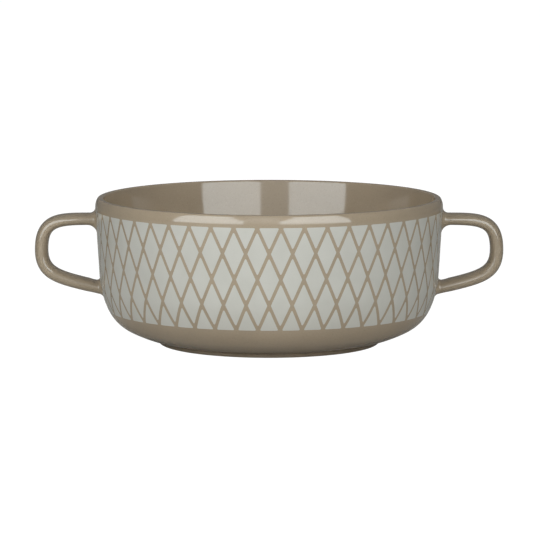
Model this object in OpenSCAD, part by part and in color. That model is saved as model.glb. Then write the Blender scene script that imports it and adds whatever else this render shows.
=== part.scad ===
// Lug soup bowl: a glazed stoneware bowl with two cast loop handles, luted on with slip,
// and two fired transfers of a harlequin lattice. Millimetres, +Z up, the foot stands at z = 0,
// the handles lie along X and the front faces -Y.

/* [Bowl] */
// Outer diameter over the rim
rim_d = 135; // [122:1:150]
// Height from the table to the top of the rim
bowl_h = 56.9; // [52:0.1:64]
// Lean of the outer wall from upright, in degrees
wall_lean = 3.4; // [2:0.2:5]
// Radius of the wide arc below the straight wall
wall_arc_r = 36; // [28:1:44]
// Radius of the tight arc at the haunch
haunch_r = 16; // [12:0.2:19]
// Radius of the flat arc under the haunch
belly_r = 51.5; // [42:0.5:60]
// Thickness of the lip
lip_t = 3.2; // [2.8:0.1:3.8]
// Radius of the shoulder just under the lip
shoulder_r = 6; // [4:0.5:8]

/* [Inside] */
// Lean of the inner wall from upright, in degrees
inner_lean = 7.2; // [6:0.2:8.4]
// Radius between the inner wall and the floor
inner_haunch_r = 18; // [15:0.5:21]
// Slope of the dished floor where it meets that radius, in degrees
floor_slope = 6; // [4:0.5:8]
// Thickness of the floor in the middle
floor_t = 3.4; // [2.8:0.1:4.4]

/* [Foot ring] */
// Outer diameter of the foot ring
foot_d = 86; // [78:0.2:92]
// Width of the foot ring
foot_w = 4.2; // [3:0.1:6]
// Height of the foot ring seen under the belly
foot_h = 1.4; // [1.1:0.1:2]
// Depth of the hollow inside the foot ring
foot_recess = 1.9; // [1.4:0.1:2.4]
// Radius of the two edges of the foot ring
foot_edge_r = 0.8; // [0.5:0.1:1.2]

/* [Handles] */
// Reach of a handle beyond the rim
handle_reach = 23.6; // [19:0.2:28]
// Drop from the rim to the middle of the upper bar
handle_drop = 8.6; // [7.8:0.2:11]
// Height between the middles of the two roots
handle_span = 27; // [24:0.5:30]
// Slope of the lower bar at its root, in degrees
lower_bar_slope = 14; // [8:1:20]
// Thickness of the upper bar
upper_bar_t = 4.6; // [4:0.1:5.6]
// Thickness of the outer bend
bend_t = 5.2; // [4.4:0.1:6.2]
// Thickness of the lower bar
lower_bar_t = 5; // [4.2:0.1:6]
// Width of the strap at the outer bend
bend_w = 11; // [9:0.2:13]
// Width of the strap at its roots
root_w = 12; // [10:0.2:13.4]

/* [Slip joints] */
// Thickness of the slip between a handle and the wall
slip_bed = 0.6; // [0.3:0.05:0.8]
// Fillet above the upper root
upper_fillet_over = 2.6; // [1.8:0.1:3.2]
// Fillet under the upper root
upper_fillet_under = 3.5; // [2:0.1:4.5]
// Fillet above the lower root
lower_fillet_over = 2; // [1.2:0.1:3]
// Fillet under the lower root
lower_fillet_under = 1.2; // [0.8:0.1:2]
// Fillet at both sides of a root
side_fillet = 1.5; // [1:0.1:2.2]

/* [Print] */
// Number of lozenges in one row round the bowl
row_count = 48; // [40:2:56]
// Height of the printed band
band_h = 39; // [34:0.2:40]
// Plain strip between the rim and the band
band_drop = 4.6; // [3.8:0.1:6]
// Width of the plain line between two lozenges
line_w = 1.2; // [0.8:0.1:1.6]
// Thickness of the fired print
print_t = 0.12; // [0.1:0.01:0.2]
// Plain strip left round the root of a handle
root_margin = 0.4; // [0.3:0.1:1]
// Gap between the two transfers where they meet at the handles
seam_w = 0.6; // [0.4:0.1:1]

/* [Hidden] */
$fn = 360;
overrun = 2;
clay_colour = [0.58, 0.53, 0.45];
slip_colour = [0.55, 0.50, 0.42];
print_colour = [0.73, 0.73, 0.69];

// Slopes of the outer outline where its arcs meet, in degrees from level
wall_slope = 90 - wall_lean;
shoulder_slope = 118;
haunch_slope = 64.6;
belly_slope = 26.8;
foot_slope = 12;
inner_slope = 90 - inner_lean;
lip_top_slope = 180;

// The point of a circle where its outline has the slope a
function facing(a) = [sin(a), -cos(a)];
// How far an arc runs outwards and upwards between two slopes
function arc_run(r, a, b) = r * (sin(b) - sin(a));
function arc_rise(r, a, b) = r * (cos(a) - cos(b));

// Outer outline, from the lip down to the foot
lip_outer_share = 0.36;
lip_inner_share = 0.24;
lip_outer_r = lip_t * lip_outer_share;
lip_inner_r = lip_t * lip_inner_share;
lip_c = [
    rim_d / 2 - shoulder_r + (shoulder_r - lip_outer_r) * sin(shoulder_slope),
    bowl_h - lip_outer_r
];
shoulder_c = lip_c - (shoulder_r - lip_outer_r) * facing(shoulder_slope);
wall_top = shoulder_c + shoulder_r * facing(wall_slope);
belly_top_z = foot_h + arc_rise(belly_r, foot_slope, belly_slope);
haunch_top_z = belly_top_z + arc_rise(haunch_r, belly_slope, haunch_slope);
wall_foot_z = haunch_top_z + arc_rise(wall_arc_r, haunch_slope, wall_slope);
wall_foot = [wall_top.x - (wall_top.y - wall_foot_z) * tan(wall_lean), wall_foot_z];
haunch_top = [wall_foot.x - arc_run(wall_arc_r, haunch_slope, wall_slope), haunch_top_z];
belly_top = [haunch_top.x - arc_run(haunch_r, belly_slope, haunch_slope), belly_top_z];
belly_end = [belly_top.x - arc_run(belly_r, foot_slope, belly_slope), foot_h];
wall_arc_c = wall_foot - wall_arc_r * facing(wall_slope);
haunch_c = haunch_top - haunch_r * facing(haunch_slope);
belly_c = belly_top - belly_r * facing(belly_slope);

// Inner outline, from the lip down to the middle of the floor
inner_lip_c = [rim_d / 2 - lip_t + lip_inner_r, bowl_h - lip_inner_r];
inner_top = inner_lip_c - lip_inner_r * facing(inner_slope);
floor_z = foot_recess + floor_t;
inner_run = arc_run(inner_haunch_r, floor_slope, inner_slope);
inner_rise = arc_rise(inner_haunch_r, floor_slope, inner_slope);
dish_rise_share = tan(floor_slope / 2);
straight_end_x = inner_top.x - (inner_top.y - floor_z - inner_rise) * tan(inner_lean) - inner_run;
floor_x = straight_end_x / (1 - dish_rise_share * tan(inner_lean));
floor_edge = [floor_x, floor_z + floor_x * dish_rise_share];
inner_foot = floor_edge + [inner_run, inner_rise];
inner_haunch_c = inner_foot - inner_haunch_r * facing(inner_slope);
dish_r = floor_x / sin(floor_slope);
dish_c = [0, floor_z + dish_r];

// Points of an arc between two slopes of its outline, without the first
function arc(c, r, a, b, steps) = [for (i = [1 : steps]) c + r * facing(a + (b - a) * i / steps)];

// The outside in section, from the foot up to the top of the lip, grown outwards by a skin
function outer_outline(skin = 0) = concat(
    [belly_end + skin * facing(foot_slope)],
    arc(belly_c, belly_r + skin, foot_slope, belly_slope, 6),
    arc(haunch_c, haunch_r + skin, belly_slope, haunch_slope, 12),
    arc(wall_arc_c, wall_arc_r + skin, haunch_slope, wall_slope, 8),
    [wall_top + skin * facing(wall_slope)],
    arc(shoulder_c, shoulder_r + skin, wall_slope, shoulder_slope, 6),
    arc(lip_c, lip_outer_r + skin, shoulder_slope, lip_top_slope, 8)
);

// The inside in section, from the top of the lip down to the middle of the floor
function inner_outline() = concat(
    [inner_lip_c + lip_inner_r * facing(lip_top_slope)],
    arc(inner_lip_c, lip_inner_r, lip_top_slope, lip_top_slope + inner_slope, 8),
    [inner_foot],
    arc(inner_haunch_c, inner_haunch_r, inner_slope, floor_slope, 16),
    arc(dish_c, dish_r, floor_slope, 0, 6)
);

// The foot ring in section: a flat tread between two round edges
module foot_section() {
    outer_x = foot_d / 2;
    inner_x = outer_x - foot_w;
    top_z = foot_recess + floor_t / 2;
    polygon(concat(
        [[outer_x, top_z], [inner_x, top_z], [inner_x, foot_edge_r]],
        arc([inner_x + foot_edge_r, foot_edge_r], foot_edge_r, -90, 0, 5),
        [[outer_x - foot_edge_r, 0]],
        arc([outer_x - foot_edge_r, foot_edge_r], foot_edge_r, 0, 90, 5)
    ));
}

// Bowl pressed in one piece with its foot ring
module bowl_body() {
    color(clay_colour)
    rotate_extrude() {
        difference() {
            polygon(concat([[0, foot_h]], outer_outline(), inner_outline()));
            translate([-overrun, 0])
                square([overrun + foot_d / 2 - foot_w / 2, foot_recess]);
        }
        foot_section();
    }
}

// The bowl's outside as one solid block, grown by a skin: it cuts what seats on the wall
module wall_block(skin = 0) {
    rotate_extrude() polygon(concat([[0, foot_h]], outer_outline(skin), [[0, bowl_h + skin]]));
}

// Outer radius of the wall at a height
function circle_x(c, r, z) = c.x + sqrt(max(0, r * r - (c.y - z) * (c.y - z)));
function wall_r(z) =
    z > wall_top.y ? circle_x(shoulder_c, shoulder_r, min(z, lip_c.y)) :
    z > wall_foot.y ? wall_foot.x + (z - wall_foot.y) * tan(wall_lean) :
    z > haunch_top.y ? circle_x(wall_arc_c, wall_arc_r, z) :
    z > belly_top.y ? circle_x(haunch_c, haunch_r, z) :
    circle_x(belly_c, belly_r, max(z, foot_h));

// Middle line of a handle: two curves that meet upright at the outermost point.
// Each pull is the share of its stretch by which a curve leaves its end straight.
upper_z = bowl_h - handle_drop;
lower_z = upper_z - handle_span;
bend_height_share = 0.557;
upper_pull_share = 0.66;
bend_upper_pull_share = 1.04;
bend_lower_pull_share = 0.69;
lower_pull_share = 0.70;
upper_root = [wall_r(upper_z), upper_z];
lower_root = [wall_r(lower_z), lower_z];
bend = [rim_d / 2 + handle_reach - bend_t / 2, lower_z + handle_span * bend_height_share];
upper_pull = upper_root + [(bend.x - upper_root.x) * upper_pull_share, 0];
bend_upper_pull = bend + [0, (upper_root.y - bend.y) * bend_upper_pull_share];
bend_lower_pull = bend - [0, (bend.y - lower_root.y) * bend_lower_pull_share];
lower_pull = lower_root
    + (bend.x - lower_root.x) * lower_pull_share * [cos(lower_bar_slope), sin(lower_bar_slope)];

function curve(p, q, r, s, t) =
    (1 - t) * (1 - t) * (1 - t) * p + 3 * (1 - t) * (1 - t) * t * q
    + 3 * (1 - t) * t * t * r + t * t * t * s;
function unit(v) = v / norm(v);

curve_steps = 20;
section_steps = 24;

// One point of a rounded strap section: across the bar, and along its width
strap_squareness = 2.4;
function squared(v) = sign(v) * pow(abs(v), 2 / strap_squareness);
function strap_point(t, w, a) = [t / 2 * squared(cos(a)), w / 2 * squared(sin(a))];

// Thickness and width of the strap at a share of its way from the upper to the lower root
function eased(u) = (1 - cos(180 * u)) / 2;
function strap_t(u) = u < 1 / 2 ?
    upper_bar_t + (bend_t - upper_bar_t) * eased(2 * u) :
    bend_t + (lower_bar_t - bend_t) * eased(2 * u - 1);
function strap_w(u) = root_w + (bend_w - root_w) * (1 - cos(360 * u)) / 2;

// Ring of the strap at a share of its way, square to its middle line
function middle(u) = u < 1 / 2 ?
    curve(upper_root, upper_pull, bend_upper_pull, bend, 2 * u) :
    curve(bend, bend_lower_pull, lower_pull, lower_root, 2 * u - 1);
function strap_ring(u) =
    let (
        at = middle(u),
        along = unit(middle(u + 1 / curve_steps / 8) - middle(u - 1 / curve_steps / 8)),
        out = [-along.y, along.x]
    )
    [for (k = [0 : section_steps - 1])
        let (p = strap_point(strap_t(u), strap_w(u), 360 * k / section_steps))
        [at.x + p.x * out.x, p.y, at.y + p.x * out.y]];

// Ring of the strap's section, grown by three fillets, that keeps an even distance s from the wall.
// The ring starts at the outside of the loop: up is 1 at the upper root and -1 at the lower one.
function wall_ring(root, up, slope, t, s, over = 0, under = 0, side = 0) =
    [for (k = [0 : section_steps - 1])
        let (
            a = 360 * k / section_steps,
            p = strap_point(t / cos(slope), root_w, a),
            grown = squared(cos(a)) * (up * cos(a) > 0 ? over : under),
            z = root.y + s * tan(slope) + up * (p.x + grown),
            y = p.y + squared(sin(a)) * side
        )
        [sqrt(wall_r(z) * wall_r(z) - y * y) + s, y, z]];

// Closed tube through rings of points, each ring listed in the same order, with a fan at each end
module tube(rings) {
    count = len(rings[0]);
    last = len(rings) - 1;
    middle_of = function (ring) [for (i = [0 : 2]) [for (p = ring) p[i]] * [for (p = ring) 1] / count];
    points = concat([for (ring = rings) each ring], [middle_of(rings[0]), middle_of(rings[last])]);
    fan = (last + 1) * count;
    faces = [for (k = [0 : count - 1]) let (m = (k + 1) % count)
        each concat(
            [for (i = [0 : last - 1]) each [
                [i * count + k, i * count + m, (i + 1) * count + m],
                [i * count + k, (i + 1) * count + m, (i + 1) * count + k]
            ]],
            [[fan, m, k], [fan + 1, last * count + k, last * count + m]]
        )];
    polyhedron(points = points, faces = faces);
}

// How far a collar of slip reaches along a strap
upper_reach = max(upper_fillet_over, upper_fillet_under, side_fillet);
lower_reach = max(lower_fillet_over, lower_fillet_under, side_fillet);
function upper_seat(s) = wall_ring(upper_root, 1, 0, upper_bar_t, s);
function lower_seat(s) = wall_ring(lower_root, -1, lower_bar_slope, lower_bar_t, s);

// A cast handle: a strap that starts and ends a slip bed away from the wall
module handle() {
    color(clay_colour)
    tube(concat(
        [upper_seat(slip_bed), upper_seat(upper_reach)],
        [for (i = [0 : 2 * curve_steps]) let (u = i / curve_steps / 2, x = middle(u).x)
            if (x > (u < 1 / 2 ? upper_root.x + upper_reach : lower_root.x + lower_reach) + bend_t / 4)
                strap_ring(u)],
        [lower_seat(lower_reach), lower_seat(slip_bed)]
    ));
}

module right_handle() {
    handle();
}

module left_handle() {
    mirror([1, 0, 0]) handle();
}

// A collar of slip between the wall and a strap, with a hollow fillet all round.
// It fills the bed behind the strap's end and thins out to a feather edge along the strap.
collar_steps = 9;
feather_t = 0.1;
function swell(r, s) = max(feather_t, s >= r ? 0 : r - sqrt(r * r - (r - s) * (r - s)));
function collar_rings(root, up, slope, t, over, under, reach) = concat(
    [wall_ring(root, up, slope, t, -slip_bed, over, under, side_fillet)],
    [for (i = [0 : collar_steps])
        let (s = reach * pow((i + 1 / 2) / (collar_steps + 1 / 2), 2))
        wall_ring(root, up, slope, t, s, swell(over, s), swell(under, s), swell(side_fillet, s))],
    [wall_ring(root, up, slope, t, reach), wall_ring(root, up, slope, t, slip_bed)]
);
function backwards(list) = [for (i = [len(list) - 1 : -1 : 0]) list[i]];

module upper_joint() {
    color(slip_colour)
    difference() {
        tube(collar_rings(upper_root, 1, 0, upper_bar_t,
            upper_fillet_over, upper_fillet_under, upper_reach));
        wall_block();
    }
}

module lower_joint() {
    color(slip_colour)
    difference() {
        tube(backwards(collar_rings(lower_root, -1, lower_bar_slope, lower_bar_t,
            lower_fillet_over, lower_fillet_under, lower_reach)));
        wall_block();
    }
}

module right_upper_joint() {
    upper_joint();
}

module right_lower_joint() {
    lower_joint();
}

module left_upper_joint() {
    mirror([1, 0, 0]) upper_joint();
}

module left_lower_joint() {
    mirror([1, 0, 0]) lower_joint();
}

// Harlequin lattice: rows of lozenges, each row half a lozenge lower and half a step further round,
// closed by half lozenges along the straight top and bottom edges of the band
band_top = bowl_h - band_drop;
band_foot = band_top - band_h;
row_rise = band_h / 4;
step_angle = 360 / row_count;
print_root_share = 0.8;

module lozenge(row) {
    z = band_foot + row * row_rise;
    full_w = wall_r(z) * sin(step_angle / 2);
    line_share = 1 - line_w / 2 * norm([full_w, row_rise]) / (full_w * row_rise);
    w = full_w * line_share;
    h = row_rise * line_share;
    translate([rim_d / 2 * print_root_share, 0, z])
        rotate([90, 0, 90])
            linear_extrude(height = rim_d / 2 * (1 - print_root_share) + overrun)
                polygon(concat(
                    [[-w, 0]],
                    row == 0 ? [] : [[0, -h]],
                    [[w, 0]],
                    row == 4 ? [] : [[0, h]]
                ));
}

// The area that a slip joint covers on the wall, with its margin
module root_mask(root, t, over, under) {
    half_y = root_w / 2 + side_fillet + root_margin;
    foot = root.y - t / 2 - under - root_margin;
    r = (root.y + t / 2 + over + root_margin - foot) / 2;
    flat_y = max(half_y - r, 0);
    translate([0, 0, foot + r])
        rotate([0, 90, 0]) {
            for (y = [-flat_y, flat_y])
                translate([0, y, 0])
                    cylinder(h = rim_d / 2 + overrun, r = r);
            translate([-r, -flat_y, 0])
                cube([2 * r, 2 * flat_y, rim_d / 2 + overrun]);
        }
}

// The transfer is also notched above the upper root, up to its edge
module root_notch() {
    half_y = root_w / 2 + side_fillet + root_margin;
    translate([0, -half_y, upper_root.y])
        cube([rim_d / 2 + overrun, 2 * half_y, bowl_h - upper_root.y]);
}

// Half of the lattice, laid on the wall between the handles; the front half lies at -Y
module transfer() {
    half_count = row_count / 2;
    color(print_colour)
    difference() {
        intersection() {
            rotate_extrude() polygon(concat(outer_outline(print_t), backwards(outer_outline())));
            for (row = [0 : 4], i = [0 : half_count])
                rotate([0, 0, -(i + (row % 2) / 2) * step_angle])
                    lozenge(row);
        }
        translate([-rim_d, -seam_w / 2, 0])
            cube([2 * rim_d, rim_d, bowl_h]);
        for (side = [0, 1])
            mirror([side, 0, 0]) {
                root_notch();
                root_mask(upper_root, upper_bar_t, upper_fillet_over, upper_fillet_under);
                root_mask(lower_root, lower_bar_t, lower_fillet_over, lower_fillet_under);
            }
    }
}

module front_print() {
    transfer();
}

module back_print() {
    mirror([0, 1, 0]) transfer();
}

bowl_body();
right_handle();
left_handle();
right_upper_joint();
right_lower_joint();
left_upper_joint();
left_lower_joint();
front_print();
back_print();
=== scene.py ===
from math import asin, atan2, ceil, cos, hypot, pi, radians, sin, sqrt, tan

import bpy
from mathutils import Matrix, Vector
from mathutils.geometry import delaunay_2d_cdt


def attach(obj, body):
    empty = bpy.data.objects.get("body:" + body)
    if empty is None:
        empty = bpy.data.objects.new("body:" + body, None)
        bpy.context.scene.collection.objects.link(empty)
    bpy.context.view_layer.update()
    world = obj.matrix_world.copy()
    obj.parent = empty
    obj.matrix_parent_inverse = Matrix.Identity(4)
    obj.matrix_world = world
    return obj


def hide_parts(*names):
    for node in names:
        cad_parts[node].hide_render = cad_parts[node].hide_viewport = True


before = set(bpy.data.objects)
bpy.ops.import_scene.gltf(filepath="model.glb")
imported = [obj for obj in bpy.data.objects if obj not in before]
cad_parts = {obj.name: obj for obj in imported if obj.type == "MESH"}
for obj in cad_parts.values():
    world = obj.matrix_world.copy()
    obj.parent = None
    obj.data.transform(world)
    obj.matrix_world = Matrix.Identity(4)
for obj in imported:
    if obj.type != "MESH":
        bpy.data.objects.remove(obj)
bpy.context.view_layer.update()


# The bowl. One piece of stoneware, pressed in a mould together with its foot ring, glazed all
# over in a warm grey-brown and fired. Only the flat tread of the foot is wiped bare, so that it
# doesn't stick to the kiln shelf.
rim_r = 0.0675
bowl_h = 0.0569
wall_lean = radians(3.4)
wall_arc_r = 0.036
haunch_r = 0.016
belly_r = 0.0515
lip_t = 0.0032
shoulder_r = 0.006
inner_lean = radians(7.2)
inner_haunch_r = 0.018
floor_slope = radians(6)
floor_t = 0.0034
foot_r = 0.043
foot_w = 0.0042
foot_h = 0.0014
foot_recess = 0.0019
foot_edge_r = 0.0008
recess_corner_r = 0.0006
glaze_step = 0.00008
lip_outer_share = 0.36
lip_inner_share = 0.24

# Fineness of the mesh: each grain is the longest edge along its stretch of the outline
turns = 360
arc_grain = 0.0007
arc_turn = radians(5)
arc_fewest = 3
straight_grain = 0.0012

upright = pi / 2
lip_outer_r = lip_t * lip_outer_share
lip_inner_r = lip_t * lip_inner_share
wall_slope = upright - wall_lean
shoulder_slope = radians(118)
haunch_slope = radians(64.6)
belly_slope = radians(26.8)
foot_slope = radians(12)
inner_slope = upright - inner_lean


def facing(slope):
    """The point of a unit circle where its outline has this slope."""
    return Vector((sin(slope), -cos(slope)))


def arc_step(r, a, b):
    """How far an arc runs outwards and upwards between two slopes."""
    return Vector((r * (sin(b) - sin(a)), r * (cos(a) - cos(b))))


lip_c = Vector((
    rim_r - shoulder_r + (shoulder_r - lip_outer_r) * sin(shoulder_slope),
    bowl_h - lip_outer_r,
))
shoulder_c = lip_c - (shoulder_r - lip_outer_r) * facing(shoulder_slope)
wall_top = shoulder_c + shoulder_r * facing(wall_slope)
belly_top_z = foot_h + arc_step(belly_r, foot_slope, belly_slope).y
haunch_top_z = belly_top_z + arc_step(haunch_r, belly_slope, haunch_slope).y
wall_foot_z = haunch_top_z + arc_step(wall_arc_r, haunch_slope, wall_slope).y
wall_foot = Vector((wall_top.x - (wall_top.y - wall_foot_z) * tan(wall_lean), wall_foot_z))
haunch_top = wall_foot - arc_step(wall_arc_r, haunch_slope, wall_slope)
belly_top = haunch_top - arc_step(haunch_r, belly_slope, haunch_slope)
wall_arc_c = wall_foot - wall_arc_r * facing(wall_slope)
haunch_c = haunch_top - haunch_r * facing(haunch_slope)
belly_c = belly_top - belly_r * facing(belly_slope)

inner_lip_c = Vector((rim_r - lip_t + lip_inner_r, bowl_h - lip_inner_r))
inner_top = inner_lip_c - lip_inner_r * facing(inner_slope)
floor_z = foot_recess + floor_t
inner_turn = arc_step(inner_haunch_r, floor_slope, inner_slope)
dish_rise_share = tan(floor_slope / 2)
straight_end_x = inner_top.x - (inner_top.y - floor_z - inner_turn.y) * tan(inner_lean) - inner_turn.x
floor_x = straight_end_x / (1 - dish_rise_share * tan(inner_lean))
floor_edge = Vector((floor_x, floor_z + floor_x * dish_rise_share))
inner_foot = floor_edge + inner_turn
inner_haunch_c = inner_foot - inner_haunch_r * facing(inner_slope)
dish_r = floor_x / sin(floor_slope)
dish_c = Vector((0, floor_z + dish_r))


def arc(c, r, a, b, finest=arc_grain):
    """Points of an arc between two slopes of its outline, without the first."""
    steps = max(arc_fewest, ceil(max(r * abs(b - a) / finest, abs(b - a) / arc_turn)))
    return [c + r * facing(a + (b - a) * i / steps) for i in range(1, steps + 1)]


def straight(p, q, finest=straight_grain):
    """Points of a straight stretch, without the first."""
    steps = ceil((q - p).length / finest)
    return [p.lerp(q, i / steps) for i in range(1, steps + 1)]


def circle_x(c, r, z):
    """How far out a circle of the outline reaches at a height."""
    return c.x + sqrt(max(0, r * r - (c.y - z) ** 2))


def wall_r(z):
    """Outer radius of the wall at a height, from the haunch up."""
    if z > wall_top.y:
        return circle_x(shoulder_c, shoulder_r, z)
    if z > wall_foot.y:
        return wall_foot.x + (z - wall_foot.y) * tan(wall_lean)
    if z > haunch_top.y:
        return circle_x(wall_arc_c, wall_arc_r, z)
    return circle_x(haunch_c, haunch_r, z)


# Waves of the fired glaze: crests round the bowl, climb in radians a metre, share and start
glaze_waves = ((7, 90, 1, 0), (11, -410, 0.8, 1.3), (17, 660, 0.6, 0.4), (29, -230, 0.4, 2.1))
wave_depth = 0.000006


def glaze_wave(angle, z):
    """How far the fired glaze dips below the true form, in metres."""
    return wave_depth * sum(
        share * (1 + sin(crests * angle + climb * z + start))
        for crests, climb, share, start in glaze_waves)


def mesh_piece(name, verts, faces, material, sharp=()):
    """A smooth-shaded mesh object; the edges listed as sharp stay crisp."""
    mesh = bpy.data.meshes.new(name)
    mesh.from_pydata([tuple(v) for v in verts], [], faces)
    mesh.polygons.foreach_set("use_smooth", [True] * len(mesh.polygons))
    if sharp:
        crisp = {frozenset(e) for e in sharp}
        for edge in mesh.edges:
            edge.use_edge_sharp = frozenset(edge.vertices) in crisp
    mesh.validate()
    mesh.update()
    piece = bpy.data.objects.new(name, mesh)
    bpy.context.scene.collection.objects.link(piece)
    mesh.materials.append(material)
    return piece


def node(tree, kind, inputs=(), **settings):
    """A shader node with its settings and its inputs, each a value or another node's output."""
    made = tree.nodes.new(kind)
    for key, value in settings.items():
        setattr(made, key, value)
    for key, value in dict(inputs).items():
        if isinstance(value, bpy.types.NodeSocket):
            tree.links.new(value, made.inputs[key])
        else:
            made.inputs[key].default_value = value
    return made


# Limits that most values of a noise lie between, and narrower ones round its middle
noise_span = (0.3, 0.7)
noise_core = (0.35, 0.65)


def noise(tree, place, scale, detail=2.0, roughness=0.5):
    """Noise over the object's own coordinates, with scale in waves per metre."""
    return node(tree, "ShaderNodeTexNoise", {
        "Vector": place, "Scale": scale, "Detail": detail, "Roughness": roughness,
    }).outputs["Fac"]


def spread(tree, value, low, high, to_low, to_high):
    """A value between two limits, stretched to two others."""
    return node(tree, "ShaderNodeMapRange", {
        "Value": value, "From Min": low, "From Max": high, "To Min": to_low, "To Max": to_high,
    }).outputs["Result"]


def mixed(tree, share, a, b):
    """Two colours mixed by a share; 6, 7 and, coming out, 2 are the node's colour sockets."""
    return node(tree, "ShaderNodeMix", {0: share, 6: a, 7: b}, data_type="RGBA").outputs[2]


rough_waves = 260
peel_waves = 300
peel_depth = 0.000004
gloss_ior = 1.72


def gloss_surface(name, colour_of, rough_low, rough_high):
    """A glossy fired surface: colour_of(tree, place) gives its colour."""
    material = bpy.data.materials.new(name)
    material.use_nodes = True
    tree = material.node_tree
    shader = tree.nodes["Principled BSDF"]
    place = node(tree, "ShaderNodeTexCoord").outputs["Object"]
    tree.links.new(colour_of(tree, place), shader.inputs["Base Color"])
    rough_noise = noise(tree, place, rough_waves, detail=3.0)
    rough = spread(tree, rough_noise, *noise_core, rough_low, rough_high)
    tree.links.new(rough, shader.inputs["Roughness"])
    bump = node(tree, "ShaderNodeBump", {
        "Strength": 1.0, "Distance": peel_depth, "Height": noise(tree, place, peel_waves, detail=1.0),
    })
    tree.links.new(bump.outputs["Normal"], shader.inputs["Normal"])
    shader.inputs["IOR"].default_value = gloss_ior
    return material


cloud_waves = 55
cloud_dark = (0.335, 0.261, 0.181, 1)
cloud_pale = (0.365, 0.285, 0.199, 1)
speck_waves = 1500
speck_span = (0.56, 0.70)
speck_share = 0.20
speck_colour = (0.215, 0.162, 0.110, 1)
fleck_waves = 1900
fleck_span = (0.58, 0.72)
fleck_share = 0.14
fleck_colour = (0.50, 0.42, 0.31, 1)
# Painted shade: the glaze colour is darkened on the foot and over a band just above it, where the
# groove under the belly lies in shade
foot_shade_rise = 0.0016
foot_shade_share = 0.25
foot_shade_colour = (0.18, 0.135, 0.09, 1)
glaze_rough = (0.06, 0.10)


def stoneware_glaze(tree, place):
    """Warm grey-brown, with a faint cloud and fine speckle, and painted shade: darker on the foot and
    just above it, in the groove under the belly.
    """
    cloud = spread(tree, noise(tree, place, cloud_waves, detail=3.0), *noise_span, 0, 1)
    ground = mixed(tree, cloud, cloud_dark, cloud_pale)
    speck = spread(tree, noise(tree, place, speck_waves), *speck_span, 0, speck_share)
    specked = mixed(tree, speck, ground, speck_colour)
    fleck = spread(tree, noise(tree, place, fleck_waves, detail=1.0), *fleck_span, 0, fleck_share)
    flecked = mixed(tree, fleck, specked, fleck_colour)
    height = node(tree, "ShaderNodeSeparateXYZ", {"Vector": place}).outputs["Z"]
    # Painted shade: darker by height from the foot up, not a colour of the glaze itself
    foot_shaded = spread(tree, height, foot_h, foot_h + foot_shade_rise, foot_shade_share, 0)
    return mixed(tree, foot_shaded, flecked, foot_shade_colour)


glaze = gloss_surface("stoneware_glaze", stoneware_glaze, *glaze_rough)

clay_waves = 2600
clay_dark = (0.42, 0.35, 0.26, 1)
clay_pale = (0.56, 0.49, 0.39, 1)
clay_relief = 0.00008
clay_rough = (0.75, 0.92)
bare_clay = bpy.data.materials.new("bare_clay")
bare_clay.use_nodes = True
clay_tree = bare_clay.node_tree
clay_place = node(clay_tree, "ShaderNodeTexCoord").outputs["Object"]
clay_grain = noise(clay_tree, clay_place, clay_waves, detail=4.0, roughness=0.6)
clay_colour = mixed(
    clay_tree, spread(clay_tree, clay_grain, *noise_core, 0, 1), clay_dark, clay_pale)
clay_bump = node(clay_tree, "ShaderNodeBump", {
    "Strength": 1.0, "Distance": clay_relief, "Height": clay_grain,
})
clay_shader = clay_tree.nodes["Principled BSDF"]
clay_tree.links.new(clay_colour, clay_shader.inputs["Base Color"])
clay_tree.links.new(clay_bump.outputs["Normal"], clay_shader.inputs["Normal"])
clay_tree.links.new(
    spread(clay_tree, clay_grain, *noise_span, *clay_rough), clay_shader.inputs["Roughness"])

foot_groove_r = 0.0005
wiped_turn = radians(12)
wiped_edge = 0.0001
corner_steps = 6
recess_grain = 0.003
foot_edge_grain = 0.0002
tread_grain = 0.0006
groove_grain = 0.0003
shoulder_grain = 0.0003
lip_grain = 0.0002
dish_grain = 0.002
wave_fade_r = 0.02
wave_fade_h = 0.004

foot_inner = foot_r - foot_w
edge_z = foot_edge_r
tread_in = foot_inner + foot_edge_r
tread_out = foot_r - foot_edge_r
level_down = -upright
groove_c = Vector((foot_r + foot_groove_r, 0))
groove_c.y = belly_c.y - sqrt((belly_r + foot_groove_r) ** 2 - (groove_c.x - belly_c.x) ** 2)
groove_turn = atan2(groove_c.x - belly_c.x, belly_c.y - groove_c.y)

outline = [Vector((0, foot_recess))]
outline += straight(outline[-1], Vector((foot_inner - recess_corner_r, foot_recess)), recess_grain)
corner_c = Vector((foot_inner - recess_corner_r, foot_recess - recess_corner_r))
for i in range(1, corner_steps + 1):
    t = upright * i / corner_steps
    outline.append(corner_c + recess_corner_r * Vector((sin(t), cos(t))))
outline += [Vector((foot_inner, edge_z))]
outline += arc(Vector((tread_in, edge_z)), foot_edge_r, level_down, -wiped_turn, foot_edge_grain)
tread_from = len(outline)
outline += [Vector((tread_in - wiped_edge, glaze_step / 2)), Vector((tread_in + wiped_edge, 0))]
outline += straight(outline[-1], Vector((tread_out - wiped_edge, 0)), tread_grain)
outline += [Vector((tread_out + wiped_edge, glaze_step / 2))]
tread_to = len(outline) - 1
outline += arc(Vector((tread_out, edge_z)), foot_edge_r, wiped_turn, upright, foot_edge_grain)
outline += straight(outline[-1], Vector((foot_r, groove_c.y)), groove_grain)
for i in range(1, corner_steps + 1):
    t = (upright - groove_turn) * i / corner_steps
    outline.append(groove_c + foot_groove_r * Vector((-cos(t), sin(t))))
outline += arc(belly_c, belly_r, groove_turn, belly_slope)
outline += arc(haunch_c, haunch_r, belly_slope, haunch_slope)
outline += arc(wall_arc_c, wall_arc_r, haunch_slope, wall_slope)
outline += straight(wall_foot, wall_top)
outline += arc(shoulder_c, shoulder_r, wall_slope, shoulder_slope, shoulder_grain)
outline += arc(lip_c, lip_outer_r, shoulder_slope, pi, lip_grain)
inside_from = len(outline)
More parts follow.
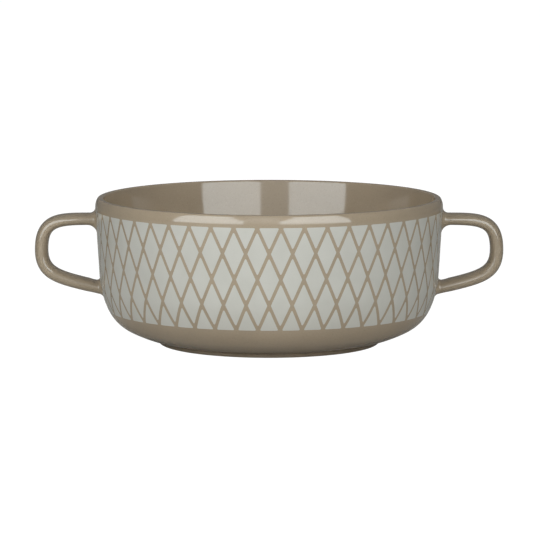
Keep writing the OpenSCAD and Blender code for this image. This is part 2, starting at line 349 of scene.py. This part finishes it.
outline += [inner_lip_c + lip_inner_r * facing(pi)]
outline += arc(inner_lip_c, lip_inner_r, pi, pi + inner_slope, lip_grain)
outline += straight(inner_top, inner_foot)
outline += arc(inner_haunch_c, inner_haunch_r, inner_slope, floor_slope)
outline += arc(dish_c, dish_r, floor_slope, 0, dish_grain)[:-1]
outline += [Vector((0, floor_z))]

ring_outline = outline[1:-1]
ring_count = len(ring_outline)
bowl_verts = []
for i, p in enumerate(ring_outline):
    wave_share = -1 if i < inside_from else min(1, p.x / wave_fade_r)
    wave_share *= min(1, max(0, (p.y - foot_h) / wave_fade_h))
    for k in range(turns):
        angle = 2 * pi * k / turns
        r = p.x + wave_share * glaze_wave(angle, p.y)
        bowl_verts.append((r * sin(angle), -r * cos(angle), p.y))
bowl_verts += [(0, 0, outline[0].y), (0, 0, outline[-1].y)]
under_middle = ring_count * turns
floor_middle = under_middle + 1
bowl_faces = []
for i in range(ring_count - 1):
    for k in range(turns):
        m = (k + 1) % turns
        bowl_faces.append((i * turns + k, i * turns + m, (i + 1) * turns + m, (i + 1) * turns + k))
for k in range(turns):
    m = (k + 1) % turns
    bowl_faces.append((under_middle, m, k))
    bowl_faces.append((floor_middle, (ring_count - 1) * turns + k, (ring_count - 1) * turns + m))
bowl = mesh_piece("bowl", bowl_verts, bowl_faces, glaze)
bowl.data.materials.append(bare_clay)
tread_faces = range((tread_from - 1) * turns, (tread_to - 1) * turns)
for i in tread_faces:
    bowl.data.polygons[i].material_index = 1
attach(bowl, "root")
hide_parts("bowl_body")


# The two handles. Each is a rounded strap of the same clay, slip-cast in a mould as a loop with
# a level upper bar and a rising lower bar, and glazed and fired with the bowl.
handle_reach = 0.0236
handle_drop = 0.0086
handle_span = 0.027
lower_bar_slope = radians(14)
upper_bar_t = 0.0046
bend_t = 0.0052
lower_bar_t = 0.005
bend_w = 0.011
root_w = 0.012
slip_bed = 0.0006
bend_height_share = 0.557
upper_pull_share = 0.66
bend_upper_pull_share = 1.04
bend_lower_pull_share = 0.69
lower_pull_share = 0.70
strap_squareness = 2.4
strap_rings = 150
strap_points = 72
tangent_step = 0.002
seat_run = 0.0035
seat_steps = 7
seat_clear = bend_t / 4

upper_z = bowl_h - handle_drop
lower_z = upper_z - handle_span
upper_root = Vector((wall_r(upper_z), upper_z))
lower_root = Vector((wall_r(lower_z), lower_z))
bend = Vector((rim_r + handle_reach - bend_t / 2, lower_z + handle_span * bend_height_share))
upper_pull = upper_root + Vector(((bend.x - upper_root.x) * upper_pull_share, 0))
bend_upper_pull = bend + Vector((0, (upper_root.y - bend.y) * bend_upper_pull_share))
bend_lower_pull = bend - Vector((0, (bend.y - lower_root.y) * bend_lower_pull_share))
lower_pull = lower_root + (bend.x - lower_root.x) * lower_pull_share * Vector(
    (cos(lower_bar_slope), sin(lower_bar_slope)))


def curve(p, q, r, s, t):
    """A point of the smooth curve that leaves p towards q and reaches s from r."""
    return (1 - t) ** 3 * p + 3 * (1 - t) ** 2 * t * q + 3 * (1 - t) * t * t * r + t ** 3 * s


def middle(u):
    """Point of a strap's middle line, from the upper root (0) to the lower root (1)."""
    if u < 0.5:
        return curve(upper_root, upper_pull, bend_upper_pull, bend, 2 * u)
    return curve(bend, bend_lower_pull, lower_pull, lower_root, 2 * u - 1)


def eased(u):
    """A share from 0 to 1 that starts and ends gently; it comes back to 0 at 2."""
    return (1 - cos(pi * u)) / 2


def strap_t(u):
    """Thickness of the strap at a share of its way."""
    if u < 0.5:
        return upper_bar_t + (bend_t - upper_bar_t) * eased(2 * u)
    return bend_t + (lower_bar_t - bend_t) * eased(2 * u - 1)


def strap_w(u):
    """Width of the strap at a share of its way."""
    return root_w + (bend_w - root_w) * eased(2 * u)


def squared(v):
    """A sine or cosine pushed outwards, which squares a round section."""
    return (1 if v > 0 else -1) * abs(v) ** (2 / strap_squareness)


def section_angles(count):
    """Angles whose points lie at even steps round the strap's section."""
    fine = 2000
    points = []
    for i in range(fine + 1):
        angle = 2 * pi * i / fine
        points.append((upper_bar_t * squared(cos(angle)), root_w * squared(sin(angle))))
    lengths = [0]
    for (ax, ay), (bx, by) in zip(points, points[1:]):
        lengths.append(lengths[-1] + hypot(bx - ax, by - ay))
    angles = []
    i = 0
    for k in range(count):
        while lengths[i] < lengths[-1] * k / count:
            i += 1
        angles.append(2 * pi * i / fine)
    return angles


strap_angles = section_angles(strap_points)


def strap_ring(u):
    """Ring of the strap's section, square to its middle line."""
    at = middle(u)
    along = (middle(u + tangent_step) - middle(u - tangent_step)).normalized()
    out = Vector((-along.y, along.x))
    ring = []
    for a in strap_angles:
        across = strap_t(u) / 2 * squared(cos(a))
        ring.append((at.x + across * out.x, strap_w(u) / 2 * squared(sin(a)), at.y + across * out.y))
    return ring


def wall_ring(root, up, slope, t, s, over=0, under=0, beside=0, inset=0):
    """Ring of the strap's section, grown by three fillets, at an even distance s from the wall."""
    ring = []
    for a in strap_angles:
        across = (t / cos(slope) / 2 - inset) * squared(cos(a))
        grown = squared(cos(a)) * (over if up * cos(a) > 0 else under)
        z = root.y + s * tan(slope) + up * (across + grown)
        y = (root_w / 2 - inset + beside) * squared(sin(a))
        r = wall_r(z)
        ring.append((sqrt(r * r - y * y) + s, y, z))
    return ring


def tube(rings):
    """Vertices and faces of a closed tube through rings of points, with a fan at each end."""
    count = len(rings[0])
    last = len(rings) - 1
    verts = [Vector(p) for ring in rings for p in ring]
    for ring in (rings[0], rings[last]):
        verts.append(sum((Vector(p) for p in ring), Vector()) / count)
    faces = []
    for i in range(last):
        for k in range(count):
            m = (k + 1) % count
            faces.append((i * count + k, (i + 1) * count + k, (i + 1) * count + m, i * count + m))
    fan = (last + 1) * count
    for k in range(count):
        m = (k + 1) % count
        faces.append((fan, k, m))
        faces.append((fan + 1, last * count + m, last * count + k))
    return verts, faces


def mirrored(verts, faces):
    """The same piece for the left side."""
    return [Vector((-v[0], v[1], v[2])) for v in verts], [tuple(reversed(f)) for f in faces]


def handle_rings():
    """Rings of a whole strap: shaped by the wall at both ends, square to its way in between."""
    rings = []
    for i in range(seat_steps + 1):
        s = slip_bed + (seat_run - slip_bed) * i / seat_steps
        rings.append(wall_ring(upper_root, 1, 0, upper_bar_t, s))
    for i in range(strap_rings + 1):
        u = i / strap_rings
        root = upper_root if u < 0.5 else lower_root
        if middle(u).x > root.x + seat_run + seat_clear:
            rings.append(strap_ring(u))
    for i in range(seat_steps + 1):
        s = seat_run + (slip_bed - seat_run) * i / seat_steps
        rings.append(wall_ring(lower_root, -1, lower_bar_slope, lower_bar_t, s))
    return rings


handle_verts, handle_faces = tube(handle_rings())
for side in ("right", "left"):
    shape = (handle_verts, handle_faces) if side == "right" else mirrored(handle_verts, handle_faces)
    strap = mesh_piece(side + "_strap", *shape, glaze)
    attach(strap, "root")
    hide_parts(side + "_handle")


# The four slip joints. A handle is luted to the leather-hard wall with liquid clay, and what
# squeezes out is wiped with a finger and a wet sponge to a hollow fillet all round the root.
upper_over, upper_under = 0.0026, 0.0035
lower_over, lower_under = 0.002, 0.0012
side_fillet = 0.0015
slip_sinks = 0.0003
fillet_steps = 26
feather = 0.00002


def swell(r, s):
    """How far a hollow fillet of radius r stands off the strap at a distance s from the wall."""
    return feather if s >= r else max(feather, r - sqrt(r * r - (r - s) ** 2))


def collar(root, up, slope, t, over, under):
    """A ring of slip round the root, with the bed that it fills behind the strap's end."""
    reach = max(over, under, side_fillet)
    rings = [wall_ring(root, up, slope, t, -slip_sinks, over, under, side_fillet)]
    for i in range(fillet_steps + 1):
        s = reach * (i / fillet_steps) ** 2
        rings.append(wall_ring(
            root, up, slope, t, s, swell(over, s), swell(under, s), swell(side_fillet, s)))
    rings.append(wall_ring(root, up, slope, t, reach, inset=feather))
    rings.append(wall_ring(root, up, slope, t, slip_bed, inset=feather))
    if up < 0:
        rings.reverse()
    return tube(rings)


joints = {
    "upper": collar(upper_root, 1, 0, upper_bar_t, upper_over, upper_under),
    "lower": collar(lower_root, -1, lower_bar_slope, lower_bar_t, lower_over, lower_under),
}
for bar, (joint_verts, joint_faces) in joints.items():
    for side in ("right", "left"):
        shape = (joint_verts, joint_faces) if side == "right" else mirrored(joint_verts, joint_faces)
        fillet = mesh_piece(f"{side}_{bar}_fillet", *shape, glaze)
        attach(fillet, "root")
        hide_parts(f"{side}_{bar}_joint")


# The printed band. Two fired transfers in pale grey, one for the front and one for the back,
# each half of a harlequin lattice: lozenges in five half-dropped rows, cut to let the handles in.
row_lozenges = 48
band_rows = 5
band_h = 0.039
band_drop = 0.0046
line_w = 0.0012
root_margin = 0.0004
seam_w = 0.0006
print_stands = 0.00005
print_sinks = 0.00004
corner_soft = 0.00045
corner_share = 0.3
oval_points = 40
print_grain = 0.0011
print_edge_grain = 0.0006
weld = 1e-7

top_row = band_rows - 1
band_foot = bowl_h - band_drop - band_h
row_rise = band_h / top_row
step_angle = 2 * pi / row_lozenges


def divided(points):
    """The outline with its long edges divided, so that they can follow the round wall."""
    made = []
    for p, q in zip(points, points[1:] + points[:1]):
        steps = ceil((q - p).length / print_edge_grain)
        made += [p.lerp(q, i / steps) for i in range(steps)]
    return made


def softened(points, r, steps=4):
    """The outline with each corner rounded to about radius r."""
    made = []
    for i, p in enumerate(points):
        back = points[i - 1] - p
        ahead = points[(i + 1) % len(points)] - p
        a = back.normalized()
        b = ahead.normalized()
        run = min(r / tan(a.angle(b) / 2), corner_share * min(back.length, ahead.length))
        start, end = p + a * run, p + b * run
        for k in range(steps + 1):
            t = k / steps
            made.append((1 - t) ** 2 * start + 2 * t * (1 - t) * p + t * t * end)
    return divided(made)


def lozenge(row):
    """Outline of one lozenge of a row, in metres along the wall and up."""
    full_w = wall_r(band_foot + row * row_rise) * sin(step_angle / 2)
    share = 1 - line_w / 2 * hypot(full_w, row_rise) / (full_w * row_rise)
    w, h = full_w * share, row_rise * share
    corners = [Vector((-w, 0)), Vector((w, 0))]
    if row > 0:
        corners.insert(1, Vector((0, -h)))
    if row < top_row:
        corners.append(Vector((0, h)))
    return softened(corners, corner_soft)


def root_ovals():
    """Outlines round the roots and the notch over the upper one, about the handle's own middle."""
    half_y = root_w / 2 + side_fillet + root_margin
    shapes = []
    for root, t, over, under in (
            (upper_root, upper_bar_t, upper_over, upper_under),
            (lower_root, lower_bar_t, lower_over, lower_under)):
        low = root.y - t / 2 - under - root_margin
        high = root.y + t / 2 + over + root_margin
        r = (high - low) / 2
        flat = max(half_y - r, 0)
        oval = []
        for i in range(oval_points):
            a = 2 * pi * (i + 0.5) / oval_points
            end = flat if cos(a) >= 0 else -flat
            oval.append(Vector((end + r * cos(a), low + r + r * sin(a))))
        shapes.append(oval)
    shapes.append([
        Vector((-half_y, upper_root.y)), Vector((half_y, upper_root.y)),
        Vector((half_y, bowl_h)), Vector((-half_y, bowl_h)),
    ])
    return shapes


def inside(p, shape):
    """Whether a point lies in an outline."""
    hit = False
    for a, b in zip(shape, shape[1:] + shape[:1]):
        if (a.y > p.y) != (b.y > p.y) and p.x < (b.x - a.x) * (p.y - a.y) / (b.y - a.y) + a.x:
            hit = not hit
    return hit


def on_wall(x, z, lift):
    """A point of the wall at a distance x along it from the front, lifted off it."""
    angle = x / rim_r
    r = wall_r(z) - glaze_wave(angle, z)
    return Vector(((r + lift) * sin(angle), -(r + lift) * cos(angle), z))


def patch(tile, cuts, lift, sink):
    """A thin tile on the wall: its outline in the unrolled plane, less the cuts."""
    low = Vector((min(p.x for p in tile), min(p.y for p in tile)))
    high = Vector((max(p.x for p in tile), max(p.y for p in tile)))
    near = [c for c in cuts
            if min(p.x for p in c) < high.x and max(p.x for p in c) > low.x
            and min(p.y for p in c) < high.y and max(p.y for p in c) > low.y]
    points, edges = [], []
    for shape in [tile] + near:
        first = len(points)
        points += shape
        edges += [(first + i, first + (i + 1) % len(shape)) for i in range(len(shape))]
    columns = ceil((high.x - low.x) / print_grain)
    rows = ceil((high.y - low.y) / print_grain)
    for i in range(1, columns):
        for j in range(1, rows):
            p = Vector((low.x + (high.x - low.x) * i / columns, low.y + (high.y - low.y) * j / rows))
            if inside(p, tile):
                points.append(p)
    found = delaunay_2d_cdt(points, edges, [], 0, weld)
    flat, triangles = found[0], found[2]
    kept = []
    for tri in triangles:
        mid = (flat[tri[0]] + flat[tri[1]] + flat[tri[2]]) / 3
        if inside(mid, tile) and not any(inside(mid, c) for c in near):
            kept.append(tuple(tri))
    if not kept:
        return [], [], []
    used = sorted({i for tri in kept for i in tri})
    index = {old: new for new, old in enumerate(used)}
    top = [on_wall(flat[i].x, flat[i].y, lift) for i in used]
    bottom = [on_wall(flat[i].x, flat[i].y, -sink) for i in used]
    count = len(used)
    faces = []
    rim_edges = {}
    for a, b, c in ((index[i] for i in tri) for tri in kept):
        faces += [(a, b, c), (c + count, b + count, a + count)]
        for start, end in ((a, b), (b, c), (c, a)):
            if (end, start) in rim_edges:
                del rim_edges[end, start]
            else:
                rim_edges[start, end] = True
    sharp = []
    for a, b in rim_edges:
        faces.append((b, a, a + count, b + count))
        sharp += [(a, b), (a + count, b + count)]
    return top + bottom, faces, sharp


print_waves = 120
print_dark = (0.503, 0.480, 0.433, 1)
print_pale = (0.538, 0.515, 0.468, 1)
thin_waves = 1700
thin_span = (0.60, 0.75)
thin_share = 0.25
thin_colour = (0.49, 0.455, 0.375, 1)
print_rough = (0.09, 0.15)


def print_colour(tree, place):
    """Pale warm grey, screened a little unevenly, with the glaze's brown showing through."""
    cloud = spread(tree, noise(tree, place, print_waves, detail=3.0), *noise_span, 0, 1)
    grey = mixed(tree, cloud, print_dark, print_pale)
    thin = spread(tree, noise(tree, place, thin_waves), *thin_span, 0, thin_share)
    return mixed(tree, thin, grey, thin_colour)


print_glaze = gloss_surface("print_glaze", print_colour, *print_rough)

half_turn = pi * rim_r
for side, towards in (("front", 0), ("back", 1)):
    band_verts, band_faces, band_sharp = [], [], []
    centre = half_turn * towards
    cuts = []
    for way in (-1, 1):
        handle_x = centre + way * half_turn / 2
        cuts += [[Vector((p.x * rim_r / wall_r(p.y) + handle_x, p.y)) for p in oval]
                 for oval in root_ovals()]
        near_x = handle_x - way * seam_w / 2
        far_x = handle_x + way * half_turn
        cuts.append([
            Vector((near_x, 0)), Vector((far_x, 0)), Vector((far_x, bowl_h)), Vector((near_x, bowl_h)),
        ])
    for row in range(band_rows):
        tile = lozenge(row)
        z = band_foot + row * row_rise
        for i in range(row_lozenges // 2 + 1):
            x = centre + (i + (row % 2) / 2) * step_angle * rim_r - half_turn / 2
            placed = [Vector((x + asin(p.x / wall_r(z + p.y)) * rim_r, z + p.y)) for p in tile]
            verts, faces, sharp = patch(placed, cuts, print_stands, print_sinks)
            first = len(band_verts)
            band_verts += verts
            band_faces += [tuple(first + v for v in f) for f in faces]
            band_sharp += [(first + a, first + b) for a, b in sharp]
    band = mesh_piece(side + "_lozenges", band_verts, band_faces, print_glaze, band_sharp)
    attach(band, "root")
    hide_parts(side + "_print")


# The studio. The bowl stands on a sheet of pale paper, lit by two near soft boxes in front, which
# its glaze mirrors, by dimmer panels between them, above and behind, and by a small lamp that
# shines down into it. The camera sees paper and backdrop as white; the glaze mirrors a dim room.
floor_size = 9.0
floor_whitened = 0.85
floor_mirrored = 0.02
floor_glow = 1.2
paper_waves = 30
paper_dark = (0.57, 0.535, 0.49, 1)
paper_pale = (0.60, 0.565, 0.52, 1)
room_colour = (0.90, 0.85, 0.77, 1)
room_light = 0.04
room_mirrored = 0.12
backdrop_glow = 1.0
white = (1, 1, 1, 1)


def white_share(tree, clear_share, mirrored_share):
    """How much of the white studio a ray sees: by the camera or through glass, and in a mirror."""
    ray = node(tree, "ShaderNodeLightPath")
    clear = node(tree, "ShaderNodeMath", {
        0: ray.outputs["Is Camera Ray"], 1: ray.outputs["Is Transmission Ray"],
    }, operation="MAXIMUM")
    shown = node(tree, "ShaderNodeMath", {
        0: clear.outputs[0], 1: clear_share,
    }, operation="MULTIPLY")
    return node(tree, "ShaderNodeMath", {
        0: ray.outputs["Is Glossy Ray"], 1: mirrored_share, 2: shown.outputs[0],
    }, operation="MULTIPLY_ADD").outputs[0]


floor_material = bpy.data.materials.new("pale_floor")
floor_material.use_nodes = True
floor_tree = floor_material.node_tree
floor_tree.nodes.clear()
floor_place = node(floor_tree, "ShaderNodeTexCoord").outputs["Object"]
paper = node(floor_tree, "ShaderNodeBsdfDiffuse", {
    "Color": mixed(
        floor_tree, noise(floor_tree, floor_place, paper_waves), paper_dark, paper_pale),
})
glow = node(floor_tree, "ShaderNodeEmission", {"Color": white, "Strength": floor_glow})
floor_mix = node(floor_tree, "ShaderNodeMixShader", {
    0: white_share(floor_tree, floor_whitened, floor_mirrored), 1: paper.outputs[0], 2: glow.outputs[0],
})
node(floor_tree, "ShaderNodeOutputMaterial", {"Surface": floor_mix.outputs[0]})

half_floor = floor_size / 2
studio_floor = mesh_piece("studio_floor", [
    (-half_floor, -half_floor, 0), (half_floor, -half_floor, 0),
    (half_floor, half_floor, 0), (-half_floor, half_floor, 0),
], [(0, 1, 2, 3)], floor_material)

world = bpy.data.worlds.new("studio")
bpy.context.scene.world = world
world.use_nodes = True
world_tree = world.node_tree
room = world_tree.nodes["Background"]
room.inputs["Color"].default_value = room_colour
room.inputs["Strength"].default_value = room_light
backdrop = node(world_tree, "ShaderNodeBackground", {"Color": white, "Strength": backdrop_glow})
world_mix = node(world_tree, "ShaderNodeMixShader", {
    0: white_share(world_tree, 1, room_mirrored), 1: room.outputs[0], 2: backdrop.outputs[0],
})
world_tree.links.new(world_mix.outputs[0], world_tree.nodes["World Output"].inputs["Surface"])

box_low = 0.03
box_radiance = 3.05
right_distance = 0.53
right_turn = radians(6.6)
left_distance = 0.42
left_turn = radians(15.4)
box_width = radians(45)
strip_width = radians(5)
edge_rise = radians(23)
middle_rise = radians(35)
box_rise = radians(48)
gap_distance = 0.60
gap_radiance = 0.55
back_distance = 1.7
back_half_width = radians(23)
back_low = 0.3
back_high = 1.9
back_radiance = 2.1
lamp_colour = (0.93, 1.0, 1.03)


def soft_box(name, distance, turn_from, turn_to, low, high, radiance, reflected=True):
    """An upright lamp panel that faces the bowl, between two turns from straight in front."""
    turn = (turn_from + turn_to) / 2
    width = 2 * distance * tan(abs(turn_to - turn_from) / 2)
    lamp = bpy.data.lights.new(name, "AREA")
    lamp.shape = "RECTANGLE"
    lamp.size = width
    lamp.size_y = high - low
    lamp.energy = radiance * pi * width * (high - low)
    lamp.color = lamp_colour
    panel = bpy.data.objects.new(name, lamp)
    panel.location = (distance * sin(turn), -distance * cos(turn), (high + low) / 2)
    panel.rotation_mode = "QUATERNION"
    panel.rotation_quaternion = Vector((-sin(turn), cos(turn), 0)).to_track_quat("-Z", "Y")
    panel.visible_camera = False
    panel.visible_glossy = reflected
    bpy.context.scene.collection.objects.link(panel)


def box_top(distance, rise):
    """Height of a panel's top edge, which the near side of the rim sees at this rise."""
    return bowl_h + (distance - rim_r) * tan(rise)


for side, way, distance, inner in (
        ("right", 1, right_distance, right_turn), ("left", -1, left_distance, left_turn)):
    for strip, turn_from, turn_to, rise in (
            ("edge", 0, strip_width, edge_rise),
            ("middle", strip_width, 2 * strip_width, middle_rise),
            ("main", 2 * strip_width, box_width, box_rise)):
        soft_box(
            f"{side}_box_{strip}", distance, way * (inner + turn_from), way * (inner + turn_to),
            box_low, box_top(distance, rise), box_radiance)
soft_box(
    "gap_box", gap_distance, -left_turn, right_turn,
    box_low, box_top(gap_distance, box_rise), gap_radiance)
soft_box(
    "back_box", back_distance, pi - back_half_width, pi + back_half_width,
    back_low, back_high, back_radiance, reflected=False)

bowl_middle = Vector((0, 0, bowl_h / 2))
fill_size = (3.2, 2.0)
fill_power = 4
fill_place = (-0.1, -2.3, 1.6)
fill = bpy.data.lights.new("front_fill", "AREA")
fill.shape = "RECTANGLE"
fill.size, fill.size_y = fill_size
fill.energy = fill_power
fill_panel = bpy.data.objects.new("front_fill", fill)
fill_panel.location = fill_place
fill_panel.rotation_mode = "QUATERNION"
fill_panel.rotation_quaternion = (bowl_middle - fill_panel.location).to_track_quat("-Z", "Y")
bpy.context.scene.collection.objects.link(fill_panel)

inside_lamp_height = 1.0
inside_lamp_power = 26
inside_lamp_cone = radians(8.5)
inside_lamp_softness = 1.0
inside_lamp_r = 0.03
inside_lamp = bpy.data.lights.new("inside_lamp", "SPOT")
inside_lamp.energy = inside_lamp_power
inside_lamp.spot_size = inside_lamp_cone
inside_lamp.spot_blend = inside_lamp_softness
inside_lamp.shadow_soft_size = inside_lamp_r
inside_lamp_stand = bpy.data.objects.new("inside_lamp", inside_lamp)
inside_lamp_stand.location = (0, 0, inside_lamp_height)
inside_lamp_stand.visible_glossy = False
bpy.context.scene.collection.objects.link(inside_lamp_stand)

camera_distance = 1.385
camera_tilt = radians(7.18)
focal_px = 3556.9
photo_px = 540
aim_px = (269.1, 269.43)
sensor = 36.0
nearest_seen = 0.05
lens = bpy.data.cameras.new("camera")
lens.sensor_width = sensor
lens.lens = focal_px * sensor / photo_px
lens.shift_x = (photo_px / 2 - aim_px[0]) / photo_px
lens.shift_y = (aim_px[1] - photo_px / 2) / photo_px
lens.clip_start = nearest_seen
camera = bpy.data.objects.new("camera", lens)
camera.location = bowl_middle + camera_distance * Vector((0, -cos(camera_tilt), sin(camera_tilt)))
camera.rotation_euler = (upright - camera_tilt, 0, 0)
bpy.context.scene.collection.objects.link(camera)
bpy.context.scene.camera = camera
bpy.context.scene.view_settings.view_transform = "Standard"
